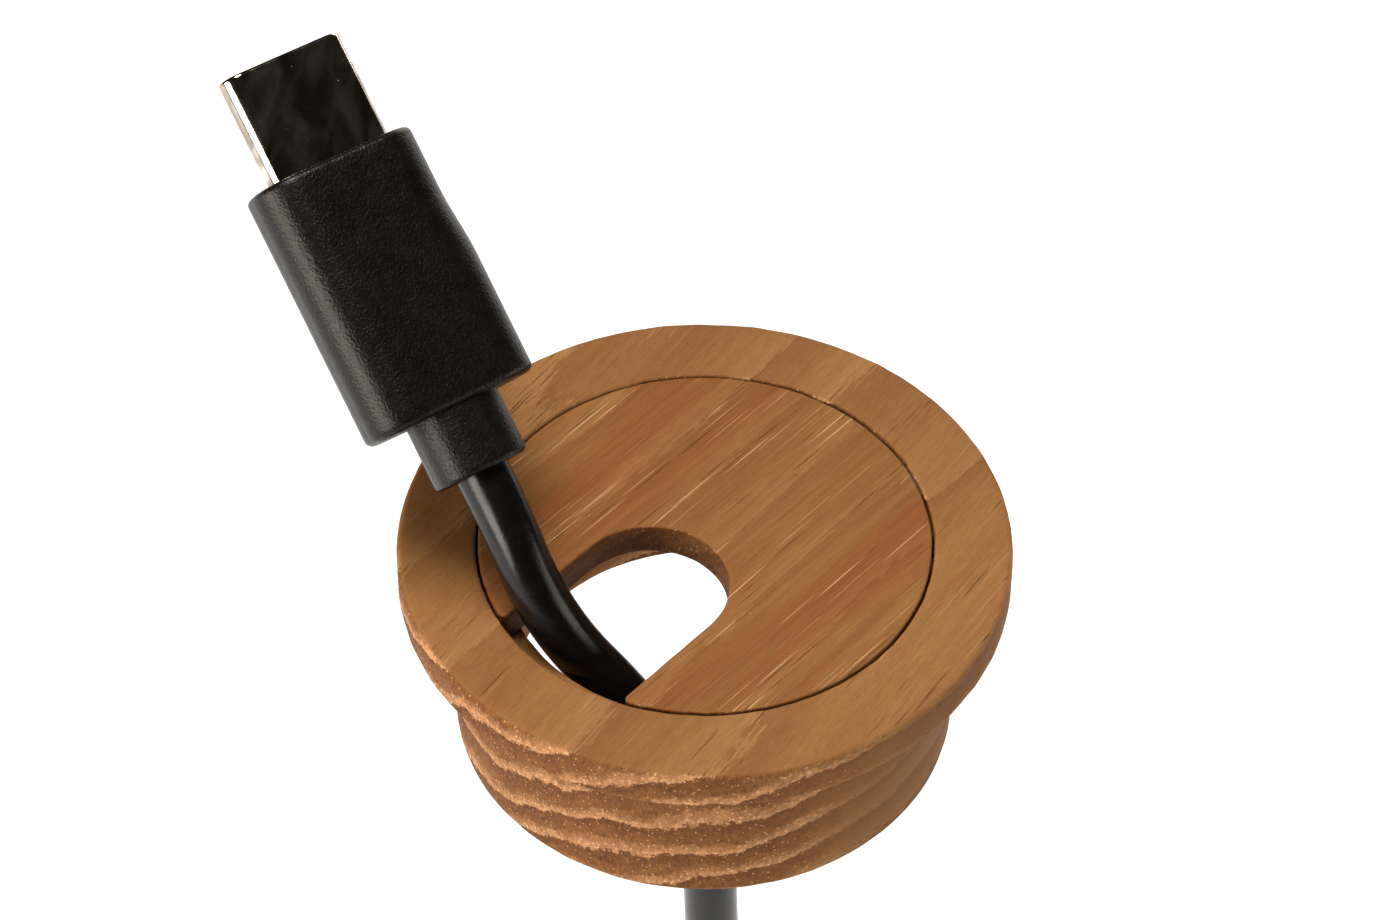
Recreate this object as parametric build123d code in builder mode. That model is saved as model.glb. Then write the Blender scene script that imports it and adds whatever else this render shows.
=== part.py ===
from build123d import *
from math import atan2, cos, hypot, pi, radians, sin, tan
import os

# Wooden desk grommet with a loose notched lid, and a USB-C lead threaded through its notch.
# Millimetres, +Z up. The origin is on the axis, in the plane of the flange's underside, which is
# the desk's top surface. The barrel hangs down into the desk's hole; the lid lies in the flange.

# sleeve: flange and barrel turned from one block
FLANGE_DIAMETER = 38.0
FLANGE_THICKNESS = 2.8
FLANGE_EDGE_RADIUS = 0.4
FLANGE_LOWER_RADIUS = 0.25
BARREL_DIAMETER = 31.6
BARREL_DEPTH = 12.2
BARREL_COVE_RADIUS = 0.9
BARREL_END_RADIUS = 0.5
BORE_DIAMETER = 24.8
BORE_END_CHAMFER = 0.3
RECESS_DIAMETER = 28.3
RECESS_EDGE_RADIUS = 0.25

# lid
LID_DIAMETER = 28.0
LID_THICKNESS = 2.4
LID_LOWER_CHAMFER = 0.2
NOTCH_WIDTH = 9.7
NOTCH_CENTRE = 5.1
NOTCH_DIRECTION = 228.6
NOTCH_TIP_RADIUS = 0.4
LID_EDGE_RADIUS = 0.15

# lead: the cord from its strain relief, down through the notch and the barrel
CORD_DIAMETER = 3.4
CORNER_SHARE = 0.45  # how much of the shorter run beside a corner its arc may use
LEAD_ROUTE = [
    (-13.4, -1.7, 10.6),
    (-11.86, -3.94, 8.47),
    (-10.21, -6.2, 5.32),
    (-7.93, -7.78, 2.14),
    (-5.07, -8.57, -1.25),
    (-1.5, -9.82, -6.8),
    (0.3, -10.39, -13.4),
    (0.52, -10.4, -21.9),
    (0.9, -10.25, -31.1),
    (1.2, -10.3, -39.5),
    (1.6, -10.3, -47.9),
]
SPLIT_RUN = 7  # half way along the run after this point, one cord node ends and the next starts

# hank: the rest of the lead, wound in turns side by side and tied at its waist
HANK_CENTRE = (0.0, -1.55, -84.6)
HANK_TURNS = 5
TURN_PITCH = 3.5
FOLD_RADIUS = 10.4
FOLD_DISTANCE = 24.6
WAIST_OFFSET = 1.8
WAIST_HALF_LENGTH = 5.5
TIE_HEIGHT = 10.0
TIE_THICKNESS = 1.0
TIE_CORNER_RADIUS = 0.9
TIE_LAP_DEPTH = 13.0
TAIL_ROUTE = [
    (1.8, 7.2, -90.1),
    (1.8, 7.3, -94.5),
    (1.85, 8.36, -98.8),
    (1.95, 11.2, -104.5),
    (2.0, 12.27, -108.8),
    (2.0, 12.35, -113.2),
]

# plugs: distances along a plug are measured from the cord's end of its strain relief
NEAR_PLUG_WIDTH = (0.827, 0.562, 0.007)
FAR_PLUG_WIDTH = (1.0, 0.0, 0.0)
COLLAR_WIDTH = 5.9
COLLAR_THICKNESS = 5.2
COLLAR_LENGTH = 4.2
COLLAR_CORNER_RADIUS = 2.3
COLLAR_EDGE_RADIUS = 0.3
NECK_WIDTH = 4.8
NECK_THICKNESS = 4.0
NECK_CORNER_RADIUS = 1.6
NECK_LENGTH = 3.0
WIRE_BORE = 2.9
WIRE_DIAMETER = 0.8
WIRE_SPREAD = 1.2
WIRE_LENGTH = 10.0
BODY_WIDTH = 11.2
BODY_THICKNESS = 6.0
BODY_LENGTH = 16.5
BODY_CORNER_RADIUS = 2.6
BODY_EDGE_RADIUS = 0.5
CAN_WIDTH = 9.0
CAN_THICKNESS = 4.2
CAN_LENGTH = 11.0
CAN_WALL = 0.2
CAN_CORNER_RADIUS = 0.8
CARD_WIDTH = 7.2
CARD_THICKNESS = 0.8
CARD_START = 8.6
CARD_LENGTH = 6.6
SHELL_WIDTH = 8.25
SHELL_THICKNESS = 2.4
SHELL_WALL = 0.25
SHELL_START = 16.2
SHELL_EXPOSED = 7.0
SHELL_MOUTH_RADIUS = 0.2
INSULATOR_RECESS = 0.35
SLOT_WIDTH = 7.0
SLOT_HEIGHT = 0.95
SLOT_DEPTH = 5.8
CONTACT_COUNT = 12
CONTACT_PITCH = 0.5
CONTACT_WIDTH = 0.28
CONTACT_THICKNESS = 0.2
CONTACT_START = 13.6
CONTACT_SETBACK = 0.4
LATCH_THICKNESS = 0.2
LATCH_HEIGHT = 0.6
LATCH_BAR_LENGTH = 1.5
LATCH_HOOK_DEPTH = 0.3
LATCH_HOOK_LENGTH = 0.6
LATCH_SETBACK = 0.5

NEAR = 0.01
LID_UNDERSIDE = FLANGE_THICKNESS - LID_THICKNESS
BODY_END = COLLAR_LENGTH + BODY_LENGTH
CAN_START = COLLAR_LENGTH + NECK_LENGTH
INSULATOR_START = CARD_START + CARD_LENGTH
SHELL_END = BODY_END + SHELL_EXPOSED
INSULATOR_END = SHELL_END - INSULATOR_RECESS
HANK_DEPTH = HANK_TURNS * TURN_PITCH + CORD_DIAMETER


def save(piece, name):
    """Label a finished piece and write its STEP file."""
    piece.part.label = name
    export_step(piece.part, f"parts/{name}.step")


# ---------------------------------------------------------------- grommet


def make_sleeve():
    """Flange and barrel in one turned piece, with the recess that holds the lid."""
    with BuildPart() as sleeve:
        with BuildSketch(Plane.XY):
            Circle(FLANGE_DIAMETER / 2)
        extrude(amount=FLANGE_THICKNESS)
        with BuildSketch(Plane.XY):
            Circle(BARREL_DIAMETER / 2)
        extrude(amount=-BARREL_DEPTH)
        rims = sleeve.edges().filter_by(GeomType.CIRCLE).group_by(Axis.Z)
        fillet(rims[-1], FLANGE_EDGE_RADIUS)
        fillet(rims[0], BARREL_END_RADIUS)
        seats = rims[1].sort_by(SortBy.RADIUS)
        fillet(seats[0], BARREL_COVE_RADIUS)
        fillet(seats[-1], FLANGE_LOWER_RADIUS)
        with BuildSketch(Plane.XY.offset(FLANGE_THICKNESS)):
            Circle(RECESS_DIAMETER / 2)
        extrude(amount=-LID_THICKNESS, mode=Mode.SUBTRACT)
        with BuildSketch(Plane.XY.offset(LID_UNDERSIDE)):
            Circle(BORE_DIAMETER / 2)
        extrude(amount=-(LID_UNDERSIDE + BARREL_DEPTH), mode=Mode.SUBTRACT)
        inner = sleeve.edges().filter_by(GeomType.CIRCLE).filter_by(
            lambda e: e.radius < RECESS_DIAMETER / 2 + NEAR
        )
        fillet(inner.sort_by(Axis.Z)[-1], RECESS_EDGE_RADIUS)
        chamfer(inner.sort_by(Axis.Z)[0], BORE_END_CHAMFER)
    return sleeve


def make_lid():
    """Loose disc with a U-shaped notch that opens at its edge."""
    notch_plane = Plane.XY.offset(LID_UNDERSIDE).rotated((0, 0, NOTCH_DIRECTION))
    with BuildPart() as lid:
        with BuildSketch(Plane.XY.offset(LID_UNDERSIDE)):
            Circle(LID_DIAMETER / 2)
        extrude(amount=LID_THICKNESS)
        with BuildSketch(notch_plane):
            with Locations((NOTCH_CENTRE, 0)):
                Circle(NOTCH_WIDTH / 2)
            with Locations((NOTCH_CENTRE + LID_DIAMETER / 2, 0)):
                Rectangle(LID_DIAMETER, NOTCH_WIDTH)
        extrude(amount=LID_THICKNESS, mode=Mode.SUBTRACT)
        tips = lid.edges().filter_by(Axis.Z).filter_by(
            lambda e: hypot(e.center().X, e.center().Y) > LID_DIAMETER / 2 - NEAR
        )
        fillet(tips, NOTCH_TIP_RADIUS)
        fillet(lid.faces().sort_by(Axis.Z)[-1].edges(), LID_EDGE_RADIUS)
        chamfer(lid.faces().sort_by(Axis.Z)[0].edges(), LID_LOWER_CHAMFER)
    return lid


# ---------------------------------------------------------------- cord


def corner_radii(route):
    """The radius at each corner that takes up its share of the shorter run beside it."""
    points = [Vector(*p) for p in route]
    radii = []
    for before, here, after in zip(points, points[1:], points[2:]):
        arrive = here - before
        leave = after - here
        half_turn = radians(arrive.get_angle(leave)) / 2
        radii.append(CORNER_SHARE * min(arrive.length, leave.length) / tan(half_turn))
    return radii


def make_cord(points, radii):
    """A plain tube along straight runs joined by tangent arcs."""
    first_run = Vector(*points[1]) - Vector(*points[0])
    with BuildPart() as cord:
        with BuildLine() as path:
            FilletPolyline(*points, radius=radii)
        with BuildSketch(Plane(origin=points[0], z_dir=first_run)):
            Circle(CORD_DIAMETER / 2)
        sweep()
    length = path.wires()[0].length
    ideal = length * pi * CORD_DIAMETER**2 / 4
    print(f"cord {length:.1f} mm, volume {cord.part.volume:.1f} against {ideal:.1f}")
    print("  radii", [round(r, 1) for r in radii])
    return cord


def draw_hank_ring(margin):
    """Closed line round the hank, that far outside the line of its cord: arcs about the two
    folds, and arcs curving the other way that lead in to the tied waist."""
    waist = WAIST_OFFSET + margin
    fold = FOLD_RADIUS + margin
    rise = FOLD_DISTANCE - WAIST_HALF_LENGTH
    flare_of_cord = (WAIST_OFFSET**2 + rise**2 - FOLD_RADIUS**2) / (2 * (FOLD_RADIUS - WAIST_OFFSET))
    flare = flare_of_cord - margin
    flare_centre = waist + flare
    turn = atan2(rise, flare_centre)
    middle = (flare_centre - flare * cos(turn / 2), WAIST_HALF_LENGTH + flare * sin(turn / 2))
    meeting = (flare_centre - flare * cos(turn), WAIST_HALF_LENGTH + flare * sin(turn))
    for up in (1, -1):
        for side in (1, -1):
            ThreePointArc(
                (side * waist, up * WAIST_HALF_LENGTH),
                (side * middle[0], up * middle[1]),
                (side * meeting[0], up * meeting[1]),
            )
        ThreePointArc(
            (meeting[0], up * meeting[1]),
            (0, up * (FOLD_DISTANCE + fold)),
            (-meeting[0], up * meeting[1]),
        )
    for side in (1, -1):
        Line((side * waist, -WAIST_HALF_LENGTH), (side * waist, WAIST_HALF_LENGTH))


def make_hank():
    """Outer shape of the wound turns: a band as deep as the stack, pinched at its waist."""
    upright = Plane(origin=HANK_CENTRE, x_dir=(1, 0, 0), z_dir=(0, -1, 0))
    with BuildPart() as hank:
        with BuildSketch(upright):
            with BuildLine():
                draw_hank_ring(CORD_DIAMETER / 2)
            make_face()
            with BuildLine():
                draw_hank_ring(-CORD_DIAMETER / 2)
            make_face(mode=Mode.SUBTRACT)
        extrude(amount=HANK_DEPTH / 2, both=True)
    return hank


def make_tie():
    """Strap wrapped round the hank's waist, with its end lapped over one side."""
    inner_width = 2 * WAIST_OFFSET + CORD_DIAMETER
    outer_width = inner_width + 2 * TIE_THICKNESS
    base = Plane(origin=HANK_CENTRE).offset(-TIE_HEIGHT / 2)
    with BuildPart() as tie:
        with BuildSketch(base):
            RectangleRounded(outer_width, HANK_DEPTH + 2 * TIE_THICKNESS, TIE_CORNER_RADIUS)
            with Locations((-(outer_width + TIE_THICKNESS) / 2, 0)):
                Rectangle(TIE_THICKNESS, TIE_LAP_DEPTH)
            Rectangle(inner_width, HANK_DEPTH, mode=Mode.SUBTRACT)
        extrude(amount=TIE_HEIGHT)
    return tie


# ---------------------------------------------------------------- plugs


def plug_plane(end, behind, width):
    """Plane across a plug at its cord's end, its normal towards the tip, its X along the wide side."""
    normal = (Vector(*end) - Vector(*behind)).normalized()
    hint = Vector(*width)
    across = (hint - normal * hint.dot(normal)).normalized()
    return Plane(origin=end, x_dir=across, z_dir=normal)


def make_strain_relief(base):
    """Collar round the cord's end, with a neck that the overmould grips and a bore for the wires."""
    with BuildPart() as relief:
        with BuildSketch(base):
            RectangleRounded(COLLAR_WIDTH, COLLAR_THICKNESS, COLLAR_CORNER_RADIUS)
        extrude(amount=COLLAR_LENGTH)
        fillet(relief.faces().sort_by(Axis(base.origin, base.z_dir))[0].edges(), COLLAR_EDGE_RADIUS)
        with BuildSketch(base.offset(COLLAR_LENGTH)):
            RectangleRounded(NECK_WIDTH, NECK_THICKNESS, NECK_CORNER_RADIUS)
        extrude(amount=NECK_LENGTH)
        with BuildSketch(base):
            Circle(WIRE_BORE / 2)
        extrude(amount=COLLAR_LENGTH + NECK_LENGTH, mode=Mode.SUBTRACT)
    return relief


def make_overmould(base):
    """Moulded grip, hollow for the strain relief's neck, the shield can and the shell."""
    with BuildPart() as overmould:
        with BuildSketch(base.offset(COLLAR_LENGTH)):
            RectangleRounded(BODY_WIDTH, BODY_THICKNESS, BODY_CORNER_RADIUS)
        extrude(amount=BODY_LENGTH)
        along = overmould.faces().sort_by(Axis(base.origin, base.z_dir))
        fillet(along[0].edges() + along[-1].edges(), BODY_EDGE_RADIUS)
        with BuildSketch(base.offset(COLLAR_LENGTH)):
            RectangleRounded(NECK_WIDTH, NECK_THICKNESS, NECK_CORNER_RADIUS)
        extrude(amount=NECK_LENGTH, mode=Mode.SUBTRACT)
        with BuildSketch(base.offset(CAN_START)):
            RectangleRounded(CAN_WIDTH, CAN_THICKNESS, CAN_CORNER_RADIUS)
        extrude(amount=CAN_LENGTH, mode=Mode.SUBTRACT)
        with BuildSketch(base.offset(CAN_START + CAN_LENGTH)):
            SlotOverall(SHELL_WIDTH, SHELL_THICKNESS)
        extrude(amount=BODY_END - CAN_START - CAN_LENGTH, mode=Mode.SUBTRACT)
    return overmould


def make_shield_can(base):
    """Folded steel sleeve round the card and the root of the shell."""
    with BuildPart() as can:
        with BuildSketch(base.offset(CAN_START)):
            RectangleRounded(CAN_WIDTH, CAN_THICKNESS, CAN_CORNER_RADIUS)
            RectangleRounded(
                CAN_WIDTH - 2 * CAN_WALL,
                CAN_THICKNESS - 2 * CAN_WALL,
                CAN_CORNER_RADIUS - CAN_WALL,
                mode=Mode.SUBTRACT,
            )
        extrude(amount=CAN_LENGTH)
    return can


def make_shell(base):
    """Drawn oval tube with a rounded mouth."""
    with BuildPart() as shell:
        with BuildSketch(base.offset(SHELL_START)):
            SlotOverall(SHELL_WIDTH, SHELL_THICKNESS)
            SlotOverall(
                SHELL_WIDTH - 2 * SHELL_WALL,
                SHELL_THICKNESS - 2 * SHELL_WALL,
                mode=Mode.SUBTRACT,
            )
        extrude(amount=SHELL_END - SHELL_START)
        mouth = shell.faces().sort_by(Axis(base.origin, base.z_dir))[-1]
        fillet(mouth.outer_wire().edges(), SHELL_MOUTH_RADIUS)
    return shell


def make_contacts(base, side):
    """One row of spring strips: their tails lie on the card and their tips in the slot."""
    height = side * (CARD_THICKNESS + CONTACT_THICKNESS) / 2
    with BuildPart() as contacts:
        with BuildSketch(base.offset(CONTACT_START)):
            with Locations((0, height)):
                with GridLocations(CONTACT_PITCH, 0, CONTACT_COUNT, 1):
                    Rectangle(CONTACT_WIDTH, CONTACT_THICKNESS)
        extrude(amount=INSULATOR_END - CONTACT_SETBACK - CONTACT_START)
    return contacts


def make_latch(base):
    """Sprung steel fork: a bar between the contact rows and an arm with a hook on each side."""
    arm_end = INSULATOR_END - LATCH_SETBACK
    arm_centre = (SLOT_WIDTH + LATCH_THICKNESS) / 2
    hook_centre = (SLOT_WIDTH - LATCH_HOOK_DEPTH) / 2
    with BuildPart() as latch:
        with BuildSketch(base.offset(INSULATOR_START)):
            Rectangle(SLOT_WIDTH, LATCH_THICKNESS)
        extrude(amount=LATCH_BAR_LENGTH)
        with BuildSketch(base.offset(INSULATOR_START)):
            with Locations((-arm_centre, 0), (arm_centre, 0)):
                Rectangle(LATCH_THICKNESS, LATCH_HEIGHT)
        extrude(amount=arm_end - INSULATOR_START)
        with BuildSketch(base.offset(arm_end - LATCH_HOOK_LENGTH)):
            with Locations((-hook_centre, 0), (hook_centre, 0)):
                Rectangle(LATCH_HOOK_DEPTH, LATCH_HEIGHT)
        extrude(amount=LATCH_HOOK_LENGTH)
    return latch


def make_insulator(base, inserts):
    """Moulded lining of the shell with the slot for the socket's tongue, moulded round its inserts."""
    with BuildPart() as insulator:
        with BuildSketch(base.offset(INSULATOR_START)):
            SlotOverall(SHELL_WIDTH - 2 * SHELL_WALL, SHELL_THICKNESS - 2 * SHELL_WALL)
        extrude(amount=INSULATOR_END - INSULATOR_START)
        with BuildSketch(base.offset(INSULATOR_END)):
            Rectangle(SLOT_WIDTH, SLOT_HEIGHT)
        extrude(amount=-SLOT_DEPTH, mode=Mode.SUBTRACT)
        for insert in inserts:
            add(insert.part, mode=Mode.SUBTRACT)
    return insulator


def make_card(base):
    """Small circuit board that the wires and the contacts are soldered to."""
    with BuildPart() as card:
        with BuildSketch(base.offset(CARD_START)):
            Rectangle(CARD_WIDTH, CARD_THICKNESS)
        extrude(amount=CARD_LENGTH)
    return card


def make_wires(base):
    """Four insulated wires from the cord's end to the two faces of the card."""
    spacing = CARD_THICKNESS + WIRE_DIAMETER
    with BuildPart() as wires:
        with BuildSketch(base):
            with GridLocations(WIRE_SPREAD, spacing, 2, 2):
                Circle(WIRE_DIAMETER / 2)
        extrude(amount=WIRE_LENGTH)
    return wires


def save_plug(prefix, base):
    """Make and write every piece of one plug."""
    upper_contacts = make_contacts(base, 1)
    lower_contacts = make_contacts(base, -1)
    latch = make_latch(base)
    save(make_strain_relief(base), f"{prefix}_strain_relief")
    save(make_overmould(base), f"{prefix}_overmould")
    save(make_shield_can(base), f"{prefix}_shield_can")
    save(make_shell(base), f"{prefix}_shell")
    save(upper_contacts, f"{prefix}_upper_contacts")
    save(lower_contacts, f"{prefix}_lower_contacts")
    save(latch, f"{prefix}_latch")
    save(make_insulator(base, [upper_contacts, lower_contacts, latch]), f"{prefix}_insulator")
    save(make_card(base), f"{prefix}_card")
    save(make_wires(base), f"{prefix}_wires")


# ---------------------------------------------------------------- build

os.makedirs("parts", exist_ok=True)

save(make_sleeve(), "sleeve")
save(make_lid(), "lid")

lead_radii = corner_radii(LEAD_ROUTE)
split = tuple((a + b) / 2 for a, b in zip(LEAD_ROUTE[SPLIT_RUN], LEAD_ROUTE[SPLIT_RUN + 1]))
upper_route = LEAD_ROUTE[: SPLIT_RUN + 1] + [split]
lower_route = [split] + LEAD_ROUTE[SPLIT_RUN + 1 :]
save(make_cord(upper_route, lead_radii[:SPLIT_RUN]), "cord_upper")
save(make_cord(lower_route, lead_radii[SPLIT_RUN:]), "cord_lower")
save(make_cord(TAIL_ROUTE, corner_radii(TAIL_ROUTE)), "cord_tail")
save(make_hank(), "cord_hank")
save(make_tie(), "hank_tie")

save_plug("near", plug_plane(LEAD_ROUTE[0], LEAD_ROUTE[1], NEAR_PLUG_WIDTH))
save_plug("far", plug_plane(TAIL_ROUTE[-1], TAIL_ROUTE[-2], FAR_PLUG_WIDTH))
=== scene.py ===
from math import atan2, cos, degrees, hypot, pi, radians, sin

import bmesh
import bpy
from mathutils import Matrix, Vector, noise


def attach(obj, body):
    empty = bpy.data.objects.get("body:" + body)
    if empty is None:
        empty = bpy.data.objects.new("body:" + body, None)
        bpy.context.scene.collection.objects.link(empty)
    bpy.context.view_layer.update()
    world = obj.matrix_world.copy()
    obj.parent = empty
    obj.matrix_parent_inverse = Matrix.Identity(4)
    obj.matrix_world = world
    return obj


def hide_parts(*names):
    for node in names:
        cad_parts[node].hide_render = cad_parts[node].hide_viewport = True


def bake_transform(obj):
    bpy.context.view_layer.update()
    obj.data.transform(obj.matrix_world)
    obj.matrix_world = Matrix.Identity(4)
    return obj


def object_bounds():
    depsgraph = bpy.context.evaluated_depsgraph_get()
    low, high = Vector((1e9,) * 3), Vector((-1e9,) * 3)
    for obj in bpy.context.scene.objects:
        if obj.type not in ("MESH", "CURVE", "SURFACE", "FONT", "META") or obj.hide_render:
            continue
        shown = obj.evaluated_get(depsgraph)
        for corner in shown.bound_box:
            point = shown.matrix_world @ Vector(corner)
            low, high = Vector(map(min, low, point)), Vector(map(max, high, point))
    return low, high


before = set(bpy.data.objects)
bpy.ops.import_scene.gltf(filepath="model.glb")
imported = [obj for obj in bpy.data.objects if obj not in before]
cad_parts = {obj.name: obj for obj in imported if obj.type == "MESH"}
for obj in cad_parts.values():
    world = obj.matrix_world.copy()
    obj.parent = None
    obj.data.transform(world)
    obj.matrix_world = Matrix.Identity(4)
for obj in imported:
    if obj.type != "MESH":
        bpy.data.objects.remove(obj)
cad_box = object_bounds()

MM = 0.001
scene = bpy.context.scene


def mm(x, y, z):
    """A point given in millimetres."""
    return Vector((x, y, z)) * MM


# ---------------------------------------------------------------- camera

CAMERA_POSITION = mm(-1.4, -187.5, 207.13)
CAMERA_FORWARD = Vector((0.00217, 0.68892, -0.72484)).normalized()
CAMERA_RIGHT = Vector((0.999996, 0.0, 0.00299)).normalized()
FOCAL_LENGTH = 117.05
SENSOR_WIDTH = 36.0
CLIP_NEAR = 0.005
CLIP_FAR = 20.0


def make_camera():
    """The camera at the photograph's angle, its axes set directly to keep its small roll."""
    data = bpy.data.cameras.new("camera")
    data.lens = FOCAL_LENGTH
    data.sensor_width = SENSOR_WIDTH
    data.sensor_fit = "HORIZONTAL"
    data.clip_start = CLIP_NEAR
    data.clip_end = CLIP_FAR
    camera = bpy.data.objects.new("camera", data)
    scene.collection.objects.link(camera)
    up = CAMERA_RIGHT.cross(CAMERA_FORWARD)
    axes = Matrix((CAMERA_RIGHT, up, -CAMERA_FORWARD)).transposed().to_4x4()
    camera.matrix_world = Matrix.Translation(CAMERA_POSITION) @ axes
    scene.camera = camera


make_camera()

# ---------------------------------------------------------------- shader graphs


def triple(value):
    return (value,) * 3


def scaled(colour, factor):
    return tuple(factor * c for c in colour)


class Graph:
    """A material whose nodes are added by short calls, ending in one Principled shader."""

    def __init__(self, name, settings=None):
        self.material = bpy.data.materials.new(name)
        self.material.use_nodes = True
        self.tree = self.material.node_tree
        self.tree.nodes.clear()
        self.shader = self.add("BsdfPrincipled", settings)
        output = self.add("OutputMaterial")
        self.tree.links.new(self.shader.outputs[0], output.inputs[0])
        self.coordinates = self.add("TexCoord")

    def add(self, kind, inputs=None, **settings):
        node = self.tree.nodes.new("ShaderNode" + kind)
        for name, value in settings.items():
            setattr(node, name, value)
        for key, value in (inputs or {}).items():
            self.feed(node.inputs[key], value)
        return node

    def feed(self, socket, value):
        if isinstance(value, bpy.types.NodeSocket):
            self.tree.links.new(value, socket)
        elif socket.type == "RGBA" and len(value) == 3:
            socket.default_value = (*value, 1.0)
        else:
            socket.default_value = value

    def local(self, turn=0.0):
        """Object coordinates in millimetres, with X turned that many degrees about Z."""
        node = self.add("Mapping", {0: self.coordinates.outputs["Object"]})
        node.inputs["Scale"].default_value = triple(1 / MM)
        node.inputs["Rotation"].default_value = (0, 0, -radians(turn))
        return node.outputs[0]

    def stretch(self, vector, x, y, z, shift=0.0):
        node = self.add("Mapping", {0: vector})
        node.inputs["Scale"].default_value = (x, y, z)
        node.inputs["Location"].default_value = triple(shift)
        return node.outputs[0]

    def noise(self, vector, scale=1.0, detail=3.0, roughness=0.5, distortion=0.0):
        inputs = {
            "Vector": vector,
            "Scale": scale,
            "Detail": detail,
            "Roughness": roughness,
            "Distortion": distortion,
        }
        return self.add("TexNoise", inputs).outputs[0]

    def cells(self, vector, scale=1.0, feature="F1"):
        inputs = {"Vector": vector, "Scale": scale}
        return self.add("TexVoronoi", inputs, feature=feature).outputs["Distance"]

    def maths(self, operation, first, second=0.0, third=0.0):
        node = self.add("Math", operation=operation)
        for socket, value in zip(node.inputs, (first, second, third)):
            self.feed(socket, value)
        return node.outputs[0]

    def times(self, first, second):
        return self.maths("MULTIPLY", first, second)

    def total(self, *values):
        result = values[0]
        for value in values[1:]:
            result = self.maths("ADD", result, value)
        return result

    def spread(self, value, low, high, to_low=0.0, to_high=1.0, smooth=False):
        """Map low..high to another range, clamped."""
        kind = "SMOOTHSTEP" if smooth else "LINEAR"
        inputs = {0: value, 1: low, 2: high, 3: to_low, 4: to_high}
        return self.add("MapRange", inputs, interpolation_type=kind, clamp=True).outputs[0]

    def mix(self, factor, first, second, blend="MIX"):
        node = self.add("Mix", data_type="RGBA", blend_type=blend, clamp_factor=True)
        for index, value in ((0, factor), (6, first), (7, second)):
            self.feed(node.inputs[index], value)
        return node.outputs[2]

    def ramp(self, value, *stops):
        node = self.add("ValToRGB", {0: value})
        elements = node.color_ramp.elements
        while len(elements) < len(stops):
            elements.new(0.5)
        for element, (position, colour) in zip(elements, stops):
            element.position = position
            element.color = (*colour, 1.0)
        return node.outputs[0]

    def bump(self, height, distance):
        return self.add("Bump", {"Height": height, "Distance": distance * MM}).outputs[0]

    def set(self, **sockets):
        for name, value in sockets.items():
            self.feed(self.shader.inputs[name.replace("_", " ")], value)
        return self.material


# ---------------------------------------------------------------- mesh helpers


def new_object(name, mesh):
    piece = bpy.data.objects.new(name, mesh)
    scene.collection.objects.link(piece)
    return piece


def loft(name, sections, closed=False):
    """Join rings of equal length into a skin. Its ends are capped, or, where it is closed,
    joined to each other."""
    mesh = bpy.data.meshes.new(name)
    build = bmesh.new()
    rings = [[build.verts.new(p) for p in ring] for ring in sections]
    pairs = list(zip(rings, rings[1:]))
    if closed:
        pairs.append((rings[-1], rings[0]))
    for lower, upper in pairs:
        for i in range(len(lower)):
            j = (i + 1) % len(lower)
            build.faces.new((lower[i], lower[j], upper[j], upper[i]))
    if not closed:
        build.faces.new(reversed(rings[0]))
        build.faces.new(rings[-1])
    bmesh.ops.recalc_face_normals(build, faces=build.faces)
    build.to_mesh(mesh)
    build.free()
    return new_object(name, mesh)


def shade(piece, material, sharp=40.0):
    """Give a piece its material, and smooth shading that breaks at sharp corners."""
    piece.data.materials.clear()
    piece.data.materials.append(material)
    piece.data.shade_smooth()
    piece.data.set_sharp_from_angle(angle=radians(sharp))
    return piece


def finish_piece(piece, body, replaced):
    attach(piece, body)
    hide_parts(replaced)


def arc_points(centre, radius, start, end, steps):
    """Points along an arc in a plane, both ends included."""
    points = []
    for i in range(steps + 1):
        angle = radians(start + (end - start) * i / steps)
        points.append((centre[0] + radius * cos(angle), centre[1] + radius * sin(angle)))
    return points


def between(start, end, steps):
    """The points that divide a line in a plane, without its ends."""
    points = []
    for i in range(1, steps):
        t = i / steps
        points.append((start[0] + (end[0] - start[0]) * t, start[1] + (end[1] - start[1]) * t))
    return points


CORNER_STEPS = 14


def rounded_outline(width, height, corner, side=5):
    """Points of a rounded rectangle, as many whatever its size, starting at the right."""
    half_width, half_height = width / 2 - corner, height / 2 - corner
    corners = []
    for sign_x, sign_y, start in ((1, 1, 0), (-1, 1, 90), (-1, -1, 180), (1, -1, 270)):
        centre = (sign_x * half_width, sign_y * half_height)
        corners.append(arc_points(centre, corner, start, start + 90, CORNER_STEPS))
    points = []
    for index, arc in enumerate(corners):
        after = corners[(index + 1) % len(corners)][0]
        points += arc + between(arc[-1], after, side)
    return points


def smooth(t):
    t = min(max(t, 0.0), 1.0)
    return t * t * (3 - 2 * t)


# ---------------------------------------------------------------- cord

CORD_DIAMETER = 3.4
LEAD_ROUTE = [
    (-13.4, -1.7, 10.6),
    (-11.86, -3.94, 8.47),
    (-10.36, -6.1, 5.1),
    (-8.1, -7.34, 1.3),
    (-5.2, -8.44, -1.7),
    (-1.5, -9.62, -7.01),
    (0.3, -10.26, -13.54),
    (0.52, -10.4, -21.9),
    (0.9, -10.25, -31.1),
    (1.2, -10.3, -39.5),
    (1.6, -10.3, -47.9),
    (1.75, -10.3, -62.0),
]
TAIL_ROUTE = [
    (1.8, 7.2, -90.1),
    (1.8, 7.3, -94.5),
    (1.85, 8.36, -98.8),
    (1.95, 11.2, -104.5),
    (2.0, 12.27, -108.8),
    (2.0, 12.35, -113.2),
]
HANK_MIDDLE = -84.6
HANK_FRONT = -10.3
HANK_TURNS = 5
TURN_PITCH = 3.5
FOLD_RADIUS = 10.4
FOLD_DISTANCE = 24.6
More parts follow.
